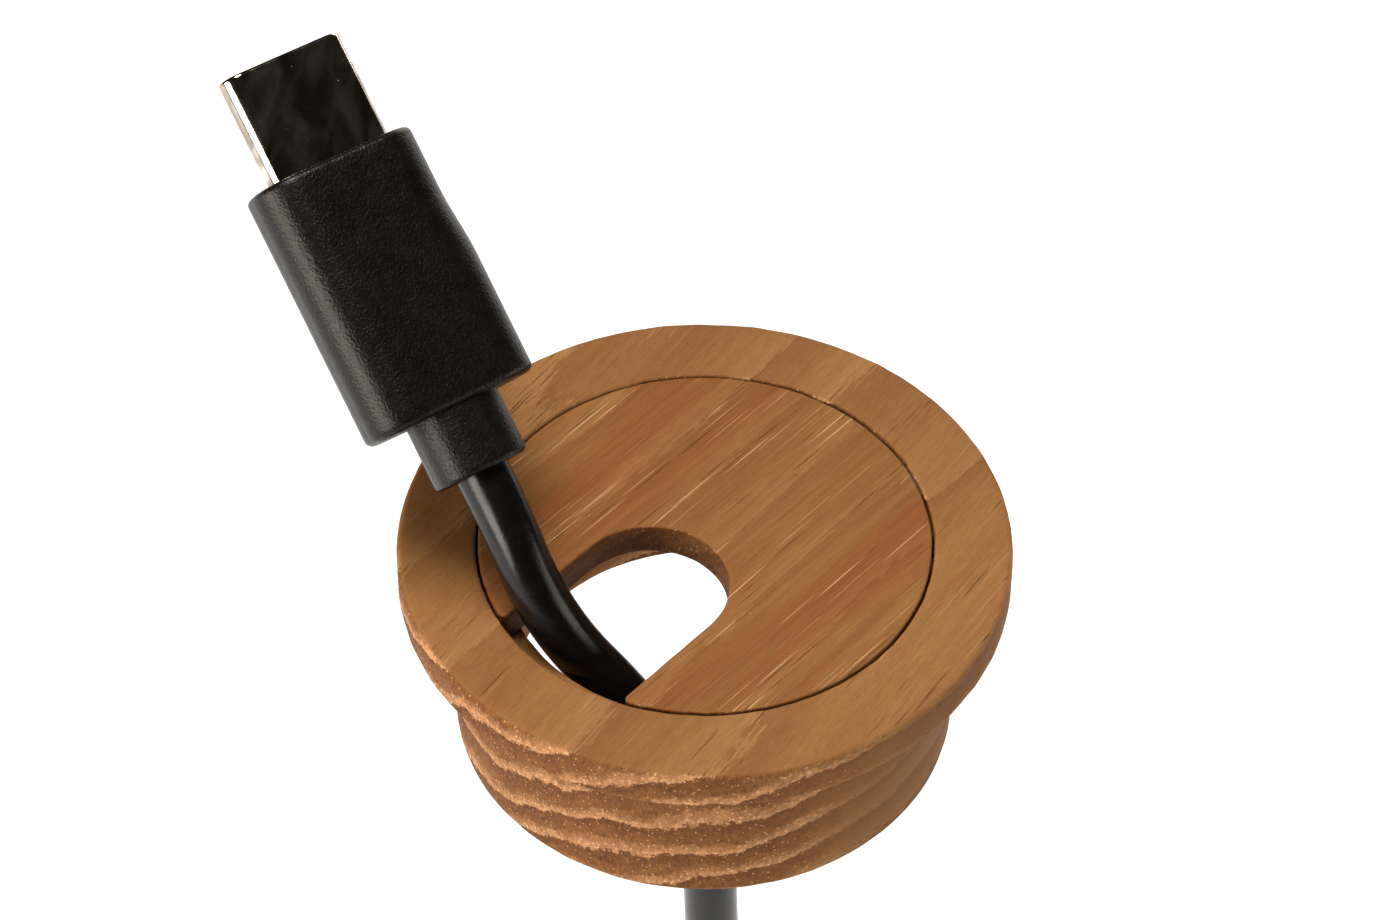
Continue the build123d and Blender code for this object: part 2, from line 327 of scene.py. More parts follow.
WAIST_OFFSET = 1.8
WAIST_HALF_LENGTH = 5.5
FLARE_POINTS = 2
FOLD_POINTS = 8
SPLINE_STEPS = 10
CORD_SIDES = 24


def half_turn():
    """Control points round the lower fold from the right of the waist to its left, as x, z
    and how far the cord has moved back, from 0 to 1. The upper fold is the same, turned
    half round."""
    rise = FOLD_DISTANCE - WAIST_HALF_LENGTH
    flare = (WAIST_OFFSET**2 + rise**2 - FOLD_RADIUS**2) / (2 * (FOLD_RADIUS - WAIST_OFFSET))
    flare_centre = WAIST_OFFSET + flare
    turn = atan2(rise, flare_centre)
    step = turn / FLARE_POINTS
    reach = flare / cos(step / 2)
    down = []
    for i in range(FLARE_POINTS):
        angle = (i + 0.5) * step
        x = flare_centre - reach * cos(angle)
        down.append((x, -WAIST_HALF_LENGTH - reach * sin(angle)))
    sweep = pi + 2 * turn
    step = sweep / FOLD_POINTS
    reach = FOLD_RADIUS / cos(step / 2)
    points = [(x, z, 0.0) for x, z in down]
    for i in range(FOLD_POINTS):
        angle = turn - (i + 0.5) * step
        x, z = reach * cos(angle), -FOLD_DISTANCE + reach * sin(angle)
        points.append((x, z, smooth((i + 0.5) / FOLD_POINTS)))
    points += [(-x, z, 1.0) for x, z in reversed(down)]
    return points


def cord_points():
    """The whole cord's control points, from the near plug to the far one, in millimetres."""
    points = list(LEAD_ROUTE)
    half = half_turn()
    for turn in range(HANK_TURNS):
        front = HANK_FRONT + turn * TURN_PITCH
        points += [(x, front + TURN_PITCH * back, HANK_MIDDLE + z) for x, z, back in half]
        points += [(-x, front + TURN_PITCH, HANK_MIDDLE - z) for x, z, back in half]
    return points + TAIL_ROUTE


def spline_line(name, points):
    """Points along an open quadratic NURBS spline through a route, read back from Blender."""
    curve = bpy.data.curves.new(name, "CURVE")
    curve.dimensions = "3D"
    curve.resolution_u = SPLINE_STEPS
    spline = curve.splines.new("NURBS")
    spline.points.add(len(points) - 1)
    for control, point in zip(spline.points, points):
        control.co = (*mm(*point), 1.0)
    spline.order_u = 3
    spline.use_endpoint_u = True
    carrier = new_object(name, curve)
    bpy.context.view_layer.update()
    evaluated = carrier.evaluated_get(bpy.context.evaluated_depsgraph_get())
    mesh = bpy.data.meshes.new_from_object(evaluated)
    line = [v.co.copy() for v in mesh.vertices]
    bpy.data.meshes.remove(mesh)
    bpy.data.objects.remove(carrier)
    bpy.data.curves.remove(curve)
    return line


def tube(name, line, radius):
    """A round tube along a line, its rings carried forward without twist."""
    tangents = []
    for i in range(len(line)):
        before, after = line[max(i - 1, 0)], line[min(i + 1, len(line) - 1)]
        tangents.append((after - before).normalized())
    side = tangents[0].orthogonal().normalized()
    rings = []
    for point, tangent in zip(line, tangents):
        side = (side - tangent * side.dot(tangent)).normalized()
        other = tangent.cross(side)
        ring = []
        for k in range(CORD_SIDES):
            angle = 2 * pi * k / CORD_SIDES
            ring.append(point + (side * cos(angle) + other * sin(angle)) * radius)
        rings.append(ring)
    return loft(name, rings)


JACKET_BLACK = (0.0020, 0.0018, 0.0016)
JACKET_WORN = (0.0040, 0.0036, 0.0031)
JACKET_DUST = (0.12, 0.10, 0.08)
JACKET_GRAIN_DEPTH = 0.012


def make_cord_material():
    """Soft black jacket with faint blotches and a little dust."""
    g = Graph("cord_jacket_pvc")
    point = g.local()
    grain = g.noise(point, scale=3.5, detail=4.0)
    blotch = g.noise(point, scale=0.35, detail=2.0)
    dust = g.spread(g.cells(point, scale=1.3), 0.05, 0.0)
    colour = g.mix(blotch, JACKET_BLACK, JACKET_WORN)
    colour = g.mix(g.times(dust, 0.25), colour, JACKET_DUST)
    rough = g.spread(g.noise(point, scale=0.8), 0.3, 0.7, 0.20, 0.29)
    return g.set(
        Base_Color=colour,
        Roughness=rough,
        IOR=1.38,
        Normal=g.bump(grain, JACKET_GRAIN_DEPTH),
    )


cord_line = spline_line("cord_line", cord_points())
cord = tube("cord", cord_line, CORD_DIAMETER / 2 * MM)
shade(cord, make_cord_material())
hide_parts("cord_upper", "cord_lower", "cord_hank", "cord_tail")
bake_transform(cord)

# ---------------------------------------------------------------- plugs

# Outlines are (width, height, corner radius), and heights run from the cord's end. A round
# end's corner is FULL_ROUND less than half the outline's height.
FULL_ROUND = 0.001
COLLAR = (5.9, 5.2, 2.3)
COLLAR_LENGTH = 4.2
COLLAR_EDGE = 0.3
COLLAR_RINGS = 8
NECK = (4.8, 4.0, 1.6)
NECK_END = 7.2
WIRE_BORE = 2.9
BORE = (WIRE_BORE, WIRE_BORE, WIRE_BORE / 2 - FULL_ROUND)
BODY = (11.2, 6.0, 2.6)
BODY_END = 20.7
BODY_FOOT_EDGE = 0.5
BODY_TOP_EDGE = 0.4
BODY_RINGS = 30
BODY_STEP = 0.3
BODY_STEP_START = 12.0
BODY_STEP_LENGTH = 4.5
CAN = (9.0, 4.2, 0.8)
CAN_END = 18.2
SHELL = (8.25, 2.4, 1.2 - FULL_ROUND)
SHELL_START = 16.2
SHELL_END = 27.7
SHELL_WALL = 0.25
SHELL_LIP = 0.22
SHELL_MOUTH = 0.3
SHELL_ROLL = 0.03
SHELL_RINGS = 12


class PlugFrame:
    """Axes of a plug at its cord's end: u along the wide side, v across it, h to the tip."""

    def __init__(self, end, behind, width):
        self.origin = mm(*end)
        self.along = (Vector(end) - Vector(behind)).normalized()
        hint = Vector(width)
        self.across = (hint - self.along * hint.dot(self.along)).normalized()
        self.front = self.along.cross(self.across)

    def place(self, u, v, h):
        return self.origin + (self.across * u + self.front * v + self.along * h) * MM

    def ring(self, width, height, corner, h, shift=0.0):
        outline = rounded_outline(width, height, corner)
        return [self.place(x + shift, y, h) for x, y in outline]


def inset(outline, amount):
    width, height, corner = outline
    return (width - 2 * amount, height - 2 * amount, corner - amount)


def rounded_end(outline, end, radius, towards, steps=5):
    """Rings of a rounded edge, from the flat end face out to the side."""
    rows = []
    for i in range(steps + 1):
        angle = radians(90 * i / steps)
        rise = radius * (1 - cos(angle))
        rows.append((*inset(outline, radius * (1 - sin(angle))), end + towards * rise))
    return rows


def side_step(h):
    """How much the body has narrowed on its one stepped side at that height."""
    return BODY_STEP * smooth((h - BODY_STEP_START) / BODY_STEP_LENGTH)


def make_overmould(name, plug):
    """Moulded grip as one closed skin: outside, both rounded ends, and the hollow inside."""
    rows = [(*NECK, COLLAR_LENGTH)]
    rows += rounded_end(BODY, COLLAR_LENGTH, BODY_FOOT_EDGE, 1)
    side_start = COLLAR_LENGTH + BODY_FOOT_EDGE
    side_length = BODY_END - side_start - BODY_FOOT_EDGE
    for i in range(1, BODY_RINGS):
        rows.append((*BODY, side_start + side_length * i / BODY_RINGS))
    rows += reversed(rounded_end(BODY, BODY_END, BODY_TOP_EDGE, -1))
    rows += [(*SHELL, BODY_END), (*SHELL, CAN_END)]
    rows += [(*CAN, CAN_END), (*CAN, NECK_END), (*NECK, NECK_END)]
    rings = []
    for width, height, corner, h in rows:
        outside = width > CAN[0]
        step = side_step(h) if outside else 0.0
        rings.append(plug.ring(width - step, height, corner, h, shift=-step / 2))
    return loft(name, rings, closed=True)


def make_strain_relief(name, plug):
    """Collar with a softly rounded mouth, its neck in the body, and the bore for the wires."""
    rows = [(*BORE, 0.0)]
    rows += rounded_end(COLLAR, 0.0, COLLAR_EDGE, 1)
    for i in range(1, COLLAR_RINGS + 1):
        rows.append((*COLLAR, COLLAR_LENGTH * i / COLLAR_RINGS))
    rows += [(*NECK, COLLAR_LENGTH), (*NECK, NECK_END), (*BORE, NECK_END)]
    return loft(name, [plug.ring(*row) for row in rows], closed=True)


def make_shell(name, plug):
    """Drawn oval tube whose mouth rolls in to the lining."""
    length = SHELL_END - SHELL_START - SHELL_MOUTH
    rows = [(*SHELL, SHELL_START + length * i / SHELL_RINGS) for i in range(SHELL_RINGS + 1)]
    rows += reversed(rounded_end(SHELL, SHELL_END, SHELL_LIP, -1, steps=7))
    inner = inset(SHELL, SHELL_WALL)
    for h in (SHELL_END - SHELL_ROLL, SHELL_END - SHELL_MOUTH, SHELL_START):
        rows.append((*inner, h))
    return loft(name, [plug.ring(*row) for row in rows], closed=True)


BLACK = (0.0020, 0.0018, 0.0015)
BLACK_WORN = scaled(BLACK, 1.7)
# Colour of the pale specks painted on the black plastic as glints: painted highlights.
BLACK_GLINT = (0.10, 0.080, 0.058)
# Ends of the shell's colour patches: partly the nickel's own tone, partly painted reflection.
NICKEL_DULL_WITH_DIM_REFLECTION = (0.34, 0.28, 0.23)
NICKEL_BRIGHT_WITH_LIT_REFLECTION = (0.78, 0.71, 0.63)
NICKEL_DUST = (0.5, 0.42, 0.33)


def make_moulded_black(name, rough_low, rough_high, grain_depth):
    """Black plastic from a spark-eroded mould: a pebbled skin with dull and shiny patches."""
    g = Graph(name)
    point = g.local()
    pits = g.cells(point, scale=5.0)
    fine = g.noise(point, scale=8.0, detail=2.0, roughness=0.6)
    height = g.total(g.times(pits, 0.9), fine)
    # Pale specks painted into the colour as glints off the pebbled skin: painted highlights.
    glint_specks = g.spread(g.cells(point, scale=4.2), 0.17, 0.06)
    wear = g.noise(point, scale=0.45, detail=3.0)
    colour = g.mix(g.spread(wear, 0.35, 0.7), BLACK, BLACK_WORN)
    colour = g.mix(g.times(glint_specks, 0.30), colour, BLACK_GLINT)
    patches = g.noise(point, scale=1.4, detail=4.0)
    rough = g.spread(patches, 0.3, 0.7, rough_low, rough_high)
    return g.set(
        Base_Color=colour,
        Roughness=rough,
        IOR=1.33,
        Specular_Tint=(1.0, 0.93, 0.85),
        Normal=g.bump(height, grain_depth),
    )


def make_nickel():
    """Bright plated steel, with finger marks, dust and fine drawing lines. The light and dark
    patches in its colour are partly painted reflection.
    """
    g = Graph("shell_nickel", {"Metallic": 1.0})
    point = g.local()
    smears_and_reflections = g.noise(g.stretch(point, 1.0, 0.5, 0.5), scale=0.6, detail=5.0, distortion=0.8)
    lines = g.noise(g.stretch(point, 1.2, 9.0, 9.0), scale=1.0, detail=2.0)
    dust = g.spread(g.cells(point, scale=1.1), 0.07, 0.02)
    # Light and dark colour patches along the finger smears: partly real marks, partly painted
    # reflection.
    colour = g.mix(g.spread(smears_and_reflections, 0.38, 0.64), NICKEL_DULL_WITH_DIM_REFLECTION, NICKEL_BRIGHT_WITH_LIT_REFLECTION)
    colour = g.mix(g.times(dust, 0.5), colour, NICKEL_DUST)
    rough = g.total(g.spread(smears_and_reflections, 0.35, 0.75, 0.07, 0.16), g.times(dust, 0.4))
    return g.set(Base_Color=colour, Roughness=rough, Normal=g.bump(lines, 0.0015))


NEAR_PLUG = PlugFrame(LEAD_ROUTE[0], LEAD_ROUTE[1], (0.827, 0.562, 0.007))
FAR_PLUG = PlugFrame(TAIL_ROUTE[-1], TAIL_ROUTE[-2], (1.0, 0.0, 0.0))
PLUGS = (("near", NEAR_PLUG, "lid"), ("far", FAR_PLUG, "lead"))

overmould_material = make_moulded_black("overmould_black", 0.30, 0.38, 0.020)
collar_material = make_moulded_black("collar_black", 0.32, 0.42, 0.022)
nickel = make_nickel()

for prefix, plug, body in PLUGS:
    grip = shade(make_overmould(prefix + "_grip", plug), overmould_material)
    finish_piece(grip, body, prefix + "_overmould")
    collar = shade(make_strain_relief(prefix + "_collar", plug), collar_material)
    finish_piece(collar, body, prefix + "_strain_relief")
    shell = shade(make_shell(prefix + "_metal_shell", plug), nickel, sharp=60.0)
    finish_piece(shell, body, prefix + "_shell")

# ---------------------------------------------------------------- strap round the hank

TIE_HEIGHT = 10.0
TIE_THICKNESS = 1.0
TIE_INSIDE = (7.0, 20.9)
TIE_MIDDLE = Vector((0.0, -1.55, -84.6))
TIE_RINGS = 12
TIE_CORNER = 0.15
TIE_CORNER_GROWTH = 0.7
TIE_SIDE_STEPS = 16
LAP_DEPTH = 13.0
LAP_HEIGHT = 9.6
LAP_CORNER = 1.6
LAP_EDGE = 0.5
LAP_RINGS = 8
STRAP_DARK = (0.010, 0.010, 0.011)
STRAP_FUZZ = (0.045, 0.044, 0.046)


def make_strap():
    """Hook-and-loop strap: a soft-edged band whose free end is lapped over its left side."""
    width, depth = TIE_INSIDE
    edge = TIE_THICKNESS / 2
    rings = []
    for i in range(TIE_RINGS):
        angle = 2 * pi * i / TIE_RINGS
        out = edge * (1 + cos(angle))
        side = 1 if sin(angle) >= 0 else -1
        rise = (TIE_HEIGHT / 2 - edge) * side + edge * sin(angle)
        corner = TIE_CORNER + TIE_CORNER_GROWTH * out
        outline = rounded_outline(width + 2 * out, depth + 2 * out, corner, TIE_SIDE_STEPS)
        rings.append([(TIE_MIDDLE + Vector((x, y, rise))) * MM for x, y in outline])
    band = loft("strap_band", rings, closed=True)
    left = -width / 2 - TIE_THICKNESS
    lap = []
    for i in range(LAP_RINGS + 1):
        angle = pi * i / LAP_RINGS
        x = left - 0.5 * TIE_THICKNESS * (1 - cos(angle))
        less = LAP_EDGE * (1 - sin(angle))
        outline = rounded_outline(LAP_DEPTH - less, LAP_HEIGHT - less, LAP_CORNER)
        lap.append([(TIE_MIDDLE + Vector((x, y, z))) * MM for y, z in outline])
    flap = loft("strap_flap", lap)
    return band, flap


def make_strap_material():
    """Fuzzy loops on a fine weave."""
    g = Graph("strap_weave")
    point = g.local()
    x, y, z = g.add("SeparateXYZ", {0: point}).outputs
    warp = g.maths("SINE", g.times(g.total(x, y), 11.0))
    weft = g.maths("SINE", g.times(z, 13.0))
    weave = g.times(warp, weft)
    loops = g.noise(point, scale=6.0, detail=4.0, roughness=0.7)
    height = g.total(g.times(weave, 0.35), loops)
    return g.set(
        Base_Color=g.mix(loops, STRAP_DARK, STRAP_FUZZ),
        Roughness=0.85,
        Sheen_Weight=0.3,
        Normal=g.bump(height, 0.09),
    )


strap_material = make_strap_material()
strap_band, strap_flap = make_strap()
for strap in (strap_band, strap_flap):
    shade(strap, strap_material)
    finish_piece(strap, "lead", "hank_tie")

# ---------------------------------------------------------------- wood

LID_GRAIN = 48.6
SLEEVE_GRAIN = 55.0
LAYER_WANDER = 5.0
LAYER_RIPPLE = 1.1
LAYER_FRAY = 1.3
PORE_TONE = (0.085, 0.034, 0.011)
GRAIN_DEPTH = 0.04


class WoodLook:
    """What differs between the two turned pieces, which are cut from different boards."""

    def __init__(self, name, **values):
        self.name = name
        self.__dict__.update(values)


def make_wood(look):
    """Solid wood in three dimensions: wavy growth layers, each starting with a pale porous
    line, pores that are dashes along the grain and dots across it, and fibres."""
    g = Graph(look.name, {"IOR": 1.25})
    point = g.local(look.grain)
    x, y, z = g.add("SeparateXYZ", {0: point}).outputs

    # How far the surface faces along the grain: 1 on end grain, 0 on long grain.
    turned = g.add("Mapping", {0: g.coordinates.outputs["Normal"]})
    turned.inputs["Rotation"].default_value = (0, 0, -radians(look.grain))
    facing = g.add("SeparateXYZ", {0: turned.outputs[0]}).outputs[0]
    end_grain = g.spread(g.maths("ABSOLUTE", facing), 0.25, 0.75, smooth=True)
    long_grain = g.maths("SUBTRACT", 1.0, end_grain)

    # Growth layers, nearly level, each with pale early wood first and dark late wood last.
    wander = g.noise(g.stretch(point, 0.03, 0.10, 0.10, 3.7), detail=2.0)
    ripple = g.noise(g.stretch(point, 0.05, 0.55, 0.55, 9.1), detail=3.0, roughness=0.65)
    fray = g.noise(g.stretch(point, 0.5, 3.6, 3.6, 2.2), detail=4.0, roughness=0.75)
    layer = g.total(
        z,
        look.phase,
        g.times(y, look.tilt),
        g.times(wander, LAYER_WANDER),
        g.times(ripple, LAYER_RIPPLE),
        g.times(fray, LAYER_FRAY),
    )
    ring = g.maths("FRACT", g.maths("DIVIDE", layer, look.spacing))
    early = g.ramp(
        ring,
        (0.0, triple(0.6)),
        (0.04, triple(1)),
        (0.13, triple(0.75)),
        (0.42, triple(0)),
        (0.97, triple(0)),
    )
    late = g.spread(ring, 0.5, 0.97)

    def by_grain(on_long, on_end):
        return g.maths("MULTIPLY_ADD", end_grain, on_end - on_long, on_long)

    broad = g.noise(g.stretch(point, 0.018, 0.36, 0.36, 1.3), detail=3.0, roughness=0.6)
    base = g.mix(g.spread(broad, 0.38, 0.62), look.tan, look.red)
    base = g.mix(g.times(late, by_grain(look.late, look.late_end)), base, look.dark)
    share = by_grain(look.band_long, look.band_end)
    colour = g.mix(g.times(early, share), base, look.light)

    # Streaks along the grain, and fibres everywhere.
    strands = g.noise(g.stretch(point, 0.05, 2.6, 2.6, 5.2), detail=5.0, roughness=0.75)
    streaks = g.ramp(strands, (0.30, (0.74, 0.70, 0.66)), (0.70, (1.24, 1.26, 1.28)))
    colour = g.mix(g.times(long_grain, look.streak), colour, streaks, "MULTIPLY")
    fibres = g.noise(g.stretch(point, look.fibre_length, 7.0, 7.0), detail=4.0, roughness=0.8)
    fuzz = g.ramp(fibres, (0.25, (0.64, 0.60, 0.57)), (0.75, (1.34, 1.37, 1.40)))
    colour = g.mix(look.fibre, colour, fuzz, "MULTIPLY")

    # Long grain: dark open pores, and pale ones that are filled with dust.
    clumps = g.noise(g.stretch(point, 0.05, 0.6, 0.6, 7.7), detail=3.0)
    porous = g.spread(g.total(clumps, g.times(early, 0.22)), 0.53, 0.64)
    vessels = g.cells(g.stretch(point, 0.13, 5.0, 5.0))
    dashes = g.times(g.spread(vessels, 0.27, 0.12), g.times(porous, long_grain))
    colour = g.mix(g.times(dashes, look.pore), colour, PORE_TONE)
    chalky = g.spread(g.total(clumps, g.times(early, 0.3)), 0.46, 0.64)
    filled_pores = g.cells(g.stretch(point, 0.085, 4.2, 4.2, 4.4))
    lines = g.times(g.spread(filled_pores, 0.24, 0.10), g.times(chalky, long_grain))
    colour = g.mix(g.times(lines, look.pale), colour, look.chalk)

    # End grain: fine lines with the layers, a rough cut, and pores as pale dots.
    across_layers = {0: g.times(x, 0.7), 1: g.times(y, 0.7), 2: g.times(layer, 2.4)}
    striae = g.noise(g.add("CombineXYZ", across_layers).outputs[0], detail=3.0, roughness=0.7)
    lined = g.ramp(striae, (0.34, (0.68, 0.58, 0.53)), (0.66, (1.26, 1.22, 1.17)))
    colour = g.mix(g.times(end_grain, 0.75), colour, lined, "MULTIPLY")
    comb = g.noise(g.stretch(point, 1.4, 5.0, 2.6), detail=5.0, roughness=0.85)
    combed = g.ramp(comb, (0.32, (0.38, 0.29, 0.25)), (0.70, (1.24, 1.19, 1.14)))
    colour = g.mix(g.times(end_grain, 0.9), colour, combed, "MULTIPLY")
    dots = g.cells(g.stretch(point, 1.2, 3.4, 2.6))
    dot_size = g.maths("MULTIPLY_ADD", early, 0.20, 0.20)
    speckle = g.times(g.spread(g.maths("DIVIDE", dots, dot_size), 1.0, 0.5), end_grain)
    colour = g.mix(g.times(speckle, look.speckle), colour, look.chalk)

    height = g.total(
        g.times(fibres, 0.9),
        g.times(dashes, -1.4),
        g.times(strands, 0.6),
        g.times(g.times(comb, end_grain), 1.8),
    )
    rough = g.spread(fibres, 0.3, 0.7, 0.62, 0.82)
    return g.set(Base_Color=colour, Roughness=rough, Normal=g.bump(height, GRAIN_DEPTH))


SLEEVE_LOOK = WoodLook(
    "sleeve_hardwood",
    grain=SLEEVE_GRAIN,
    tilt=0.33,
    spacing=2.6,
    phase=1.9,
    tan=(0.248, 0.114, 0.034),
    red=(0.220, 0.094, 0.026),
    dark=(0.160, 0.060, 0.019),
    light=(0.66, 0.375, 0.18),
    late=0.40,
    late_end=0.80,
    band_long=0.10,
    band_end=0.80,
    streak=0.20,
    fibre=0.55,
    fibre_length=1.0,
    pore=0.62,
    pale=0.14,
    chalk=(0.68, 0.40, 0.20),
    speckle=0.66,
)
LID_LOOK = WoodLook(
    "lid_hardwood",
    grain=LID_GRAIN,
    tilt=0.60,
    spacing=2.8,
    phase=0.0,
    tan=(0.228, 0.103, 0.029),
    red=(0.200, 0.066, 0.016),
    dark=(0.165, 0.060, 0.015),
    light=(0.30, 0.150, 0.052),
    late=0.30,
    late_end=0.50,
    band_long=0.28,
    band_end=0.45,
    streak=0.62,
    fibre=0.52,
    fibre_length=0.6,
    pore=0.55,
    pale=0.82,
    chalk=(0.52, 0.31, 0.14),
    speckle=0.55,
)

FLANGE_RADIUS = 19.0
FLANGE_TOP = 2.8
FLANGE_TOP_EDGE = 0.4
FLANGE_LOW_EDGE = 0.25
BARREL_RADIUS = 15.8
BARREL_LOW = -12.2
BARREL_LOW_EDGE = 0.5
UNDERCUT = 0.9
BORE_RADIUS = 12.4
BORE_CHAMFER = 0.3
RECESS_RADIUS = 14.15
RECESS_EDGE = 0.25
EDGE_STEPS = 5
PROFILE_PITCH = 0.8
SLEEVE_SIDES = 400
SLEEVE_SANDING = 0.035
LID_SANDING = 0.03
SANDING_SCALE = 0.9
SANDING_SEED = 19
LID_LOW = 0.4
LID_RADIUS = 14.0
LID_SIDE_STEPS = 260
LID_LOW_CHAMFER = 0.2
LID_TOP_EDGE = 0.15
LID_TOP_EDGE_STEPS = 4
LID_HEIGHT_STEPS = 6
LID_CAP_INSET = 0.33
NOTCH_DIRECTION = 228.6
NOTCH_CENTRE = 5.1
NOTCH_RADIUS = 4.85
NOTCH_TIP = 0.4
NOTCH_TIP_STEPS = 8
NOTCH_SIDE_STEPS = 16
NOTCH_END_STEPS = 48

noise.seed_set(SANDING_SEED)


def filled(points, pitch):
    """The same closed profile with points added so that no step is longer than pitch."""
    result = []
    for here, after in zip(points, points[1:] + points[:1]):
        steps = int(hypot(after[0] - here[0], after[1] - here[1]) / pitch)
        result.append(here)
        result += between(here, after, steps + 1)
    return result


def hand_finish(point, depth):
    """Move a point by a hair, as sanding by hand leaves a turned edge."""
    sample = Vector(point) * SANDING_SCALE
    return point + noise.noise_vector(sample) * depth


def profile_edge(r, z, radius, start, end):
    """A profile's rounded edge about a centre that is given by its radius from the axis."""
    return arc_points((r, z), radius, start, end, EDGE_STEPS)


def make_sleeve():
    """Flange, barrel and recess turned as one closed profile."""
    top, low, foot, mouth = FLANGE_TOP_EDGE, FLANGE_LOW_EDGE, BARREL_LOW_EDGE, RECESS_EDGE
    profile = profile_edge(FLANGE_RADIUS - top, FLANGE_TOP - top, top, 90, 0)
    profile += profile_edge(FLANGE_RADIUS - low, low, low, 0, -90)
    profile += profile_edge(BARREL_RADIUS + UNDERCUT, -UNDERCUT, UNDERCUT, 90, 180)
    profile += profile_edge(BARREL_RADIUS - foot, BARREL_LOW + foot, foot, 0, -90)
    profile += [(BORE_RADIUS + BORE_CHAMFER, BARREL_LOW)]
    profile += [(BORE_RADIUS, BARREL_LOW + BORE_CHAMFER)]
    profile += [(BORE_RADIUS, LID_LOW), (RECESS_RADIUS, LID_LOW)]
    profile += profile_edge(RECESS_RADIUS + mouth, FLANGE_TOP - mouth, mouth, 180, 90)
    rings = []
    for r, z in filled(profile, PROFILE_PITCH):
        ring = []
        for k in range(SLEEVE_SIDES):
            angle = 2 * pi * k / SLEEVE_SIDES
            point = Vector((r * cos(angle), r * sin(angle), z))
            ring.append(hand_finish(point, SLEEVE_SANDING) * MM)
        rings.append(ring)
    return loft("wooden_sleeve", rings, closed=True)


def lid_outline():
    """The lid's edge, anticlockwise, with the notch opening along +X before it is turned."""
    tip_y = NOTCH_RADIUS + NOTCH_TIP
    tip_x = (((LID_RADIUS - NOTCH_TIP) ** 2) - tip_y**2) ** 0.5
    tip_angle = degrees(atan2(tip_y, tip_x))
    mouth, end = (tip_x, NOTCH_RADIUS), (NOTCH_CENTRE, NOTCH_RADIUS)
    low_mouth, low_end = (tip_x, -NOTCH_RADIUS), (NOTCH_CENTRE, -NOTCH_RADIUS)
    low_tip = arc_points((tip_x, -tip_y), NOTCH_TIP, -tip_angle, 90, NOTCH_TIP_STEPS)
    tip = arc_points((tip_x, tip_y), NOTCH_TIP, -90, tip_angle, NOTCH_TIP_STEPS)
    points = arc_points((0, 0), LID_RADIUS, tip_angle, 360 - tip_angle, LID_SIDE_STEPS)
    points += low_tip[1:]
    points += between(low_mouth, low_end, NOTCH_SIDE_STEPS)
    points += arc_points((NOTCH_CENTRE, 0), NOTCH_RADIUS, 270, 90, NOTCH_END_STEPS)
    points += between(end, mouth, NOTCH_SIDE_STEPS) + [mouth]
    return points + tip[1:-1]


def inset_outline(points, amount):
    """Move an anticlockwise outline inwards along its own normals."""
    result = []
    count = len(points)
    for i in range(count):
        before, after = points[i - 1], points[(i + 1) % count]
        along = Vector((after[0] - before[0], after[1] - before[1])).normalized()
        result.append((points[i][0] - along.y * amount, points[i][1] + along.x * amount))
    return result


def make_lid():
    """Loose notched disc with eased edges."""
    outline = lid_outline()
    turn = Matrix.Rotation(radians(NOTCH_DIRECTION), 3, "Z")
    side_start, side_end = LID_LOW + LID_LOW_CHAMFER, FLANGE_TOP - LID_TOP_EDGE
    rows = [(LID_CAP_INSET, LID_LOW), (LID_LOW_CHAMFER, LID_LOW), (0.0, side_start)]
    for i in range(1, LID_HEIGHT_STEPS):
        rows.append((0.0, side_start + (side_end - side_start) * i / LID_HEIGHT_STEPS))
    for i in range(LID_TOP_EDGE_STEPS + 1):
        angle = radians(90 * i / LID_TOP_EDGE_STEPS)
        rows.append((LID_TOP_EDGE * (1 - cos(angle)), side_end + LID_TOP_EDGE * sin(angle)))
    rows += [(LID_CAP_INSET, FLANGE_TOP)]
    rings = []
    for amount, z in rows:
        ring = []
        for x, y in inset_outline(outline, amount) if amount else outline:
            ring.append(hand_finish(turn @ Vector((x, y, z)), LID_SANDING) * MM)
        rings.append(ring)
    return loft("wooden_lid", rings)


sleeve = shade(make_sleeve(), make_wood(SLEEVE_LOOK))
finish_piece(sleeve, "sleeve", "sleeve")
lid = shade(make_lid(), make_wood(LID_LOOK))
finish_piece(lid, "lid", "lid")

# ---------------------------------------------------------------- pieces kept from the CAD


def make_sheet_steel(name, tone, rough):
    """Rolled steel strip with fine lines along the roll."""
    g = Graph(name, {"Metallic": 1.0})
    point = g.local()
    lines = g.noise(g.stretch(point, 0.8, 8.0, 8.0), detail=3.0)
    stain = g.noise(point, scale=0.5, detail=3.0)
    return g.set(
        Base_Color=g.mix(stain, tone, scaled(tone, 0.75)),
        Roughness=g.spread(stain, 0.3, 0.7, rough, rough + 0.18),
        Normal=g.bump(lines, 0.004),
    )


def make_gold():
    g = Graph("contact_gold_plate", {"Metallic": 1.0})
    wear = g.noise(g.local(), scale=2.2, detail=3.0)
    return g.set(
        Base_Color=g.mix(wear, (0.83, 0.58, 0.22), (0.70, 0.47, 0.20)),
        Roughness=g.spread(wear, 0.3, 0.7, 0.18, 0.34),
        Normal=g.bump(wear, 0.003),
    )


def make_lining():
    g = Graph("insulator_black")
    flow = g.noise(g.stretch(g.local(), 1.0, 1.0, 0.3), scale=1.6, detail=3.0)
    return g.set(
        Base_Color=g.mix(flow, (0.006, 0.006, 0.006), (0.014, 0.014, 0.015)),
        Roughness=g.spread(flow, 0.3, 0.7, 0.35, 0.5),
        Normal=g.bump(flow, 0.01),
    )


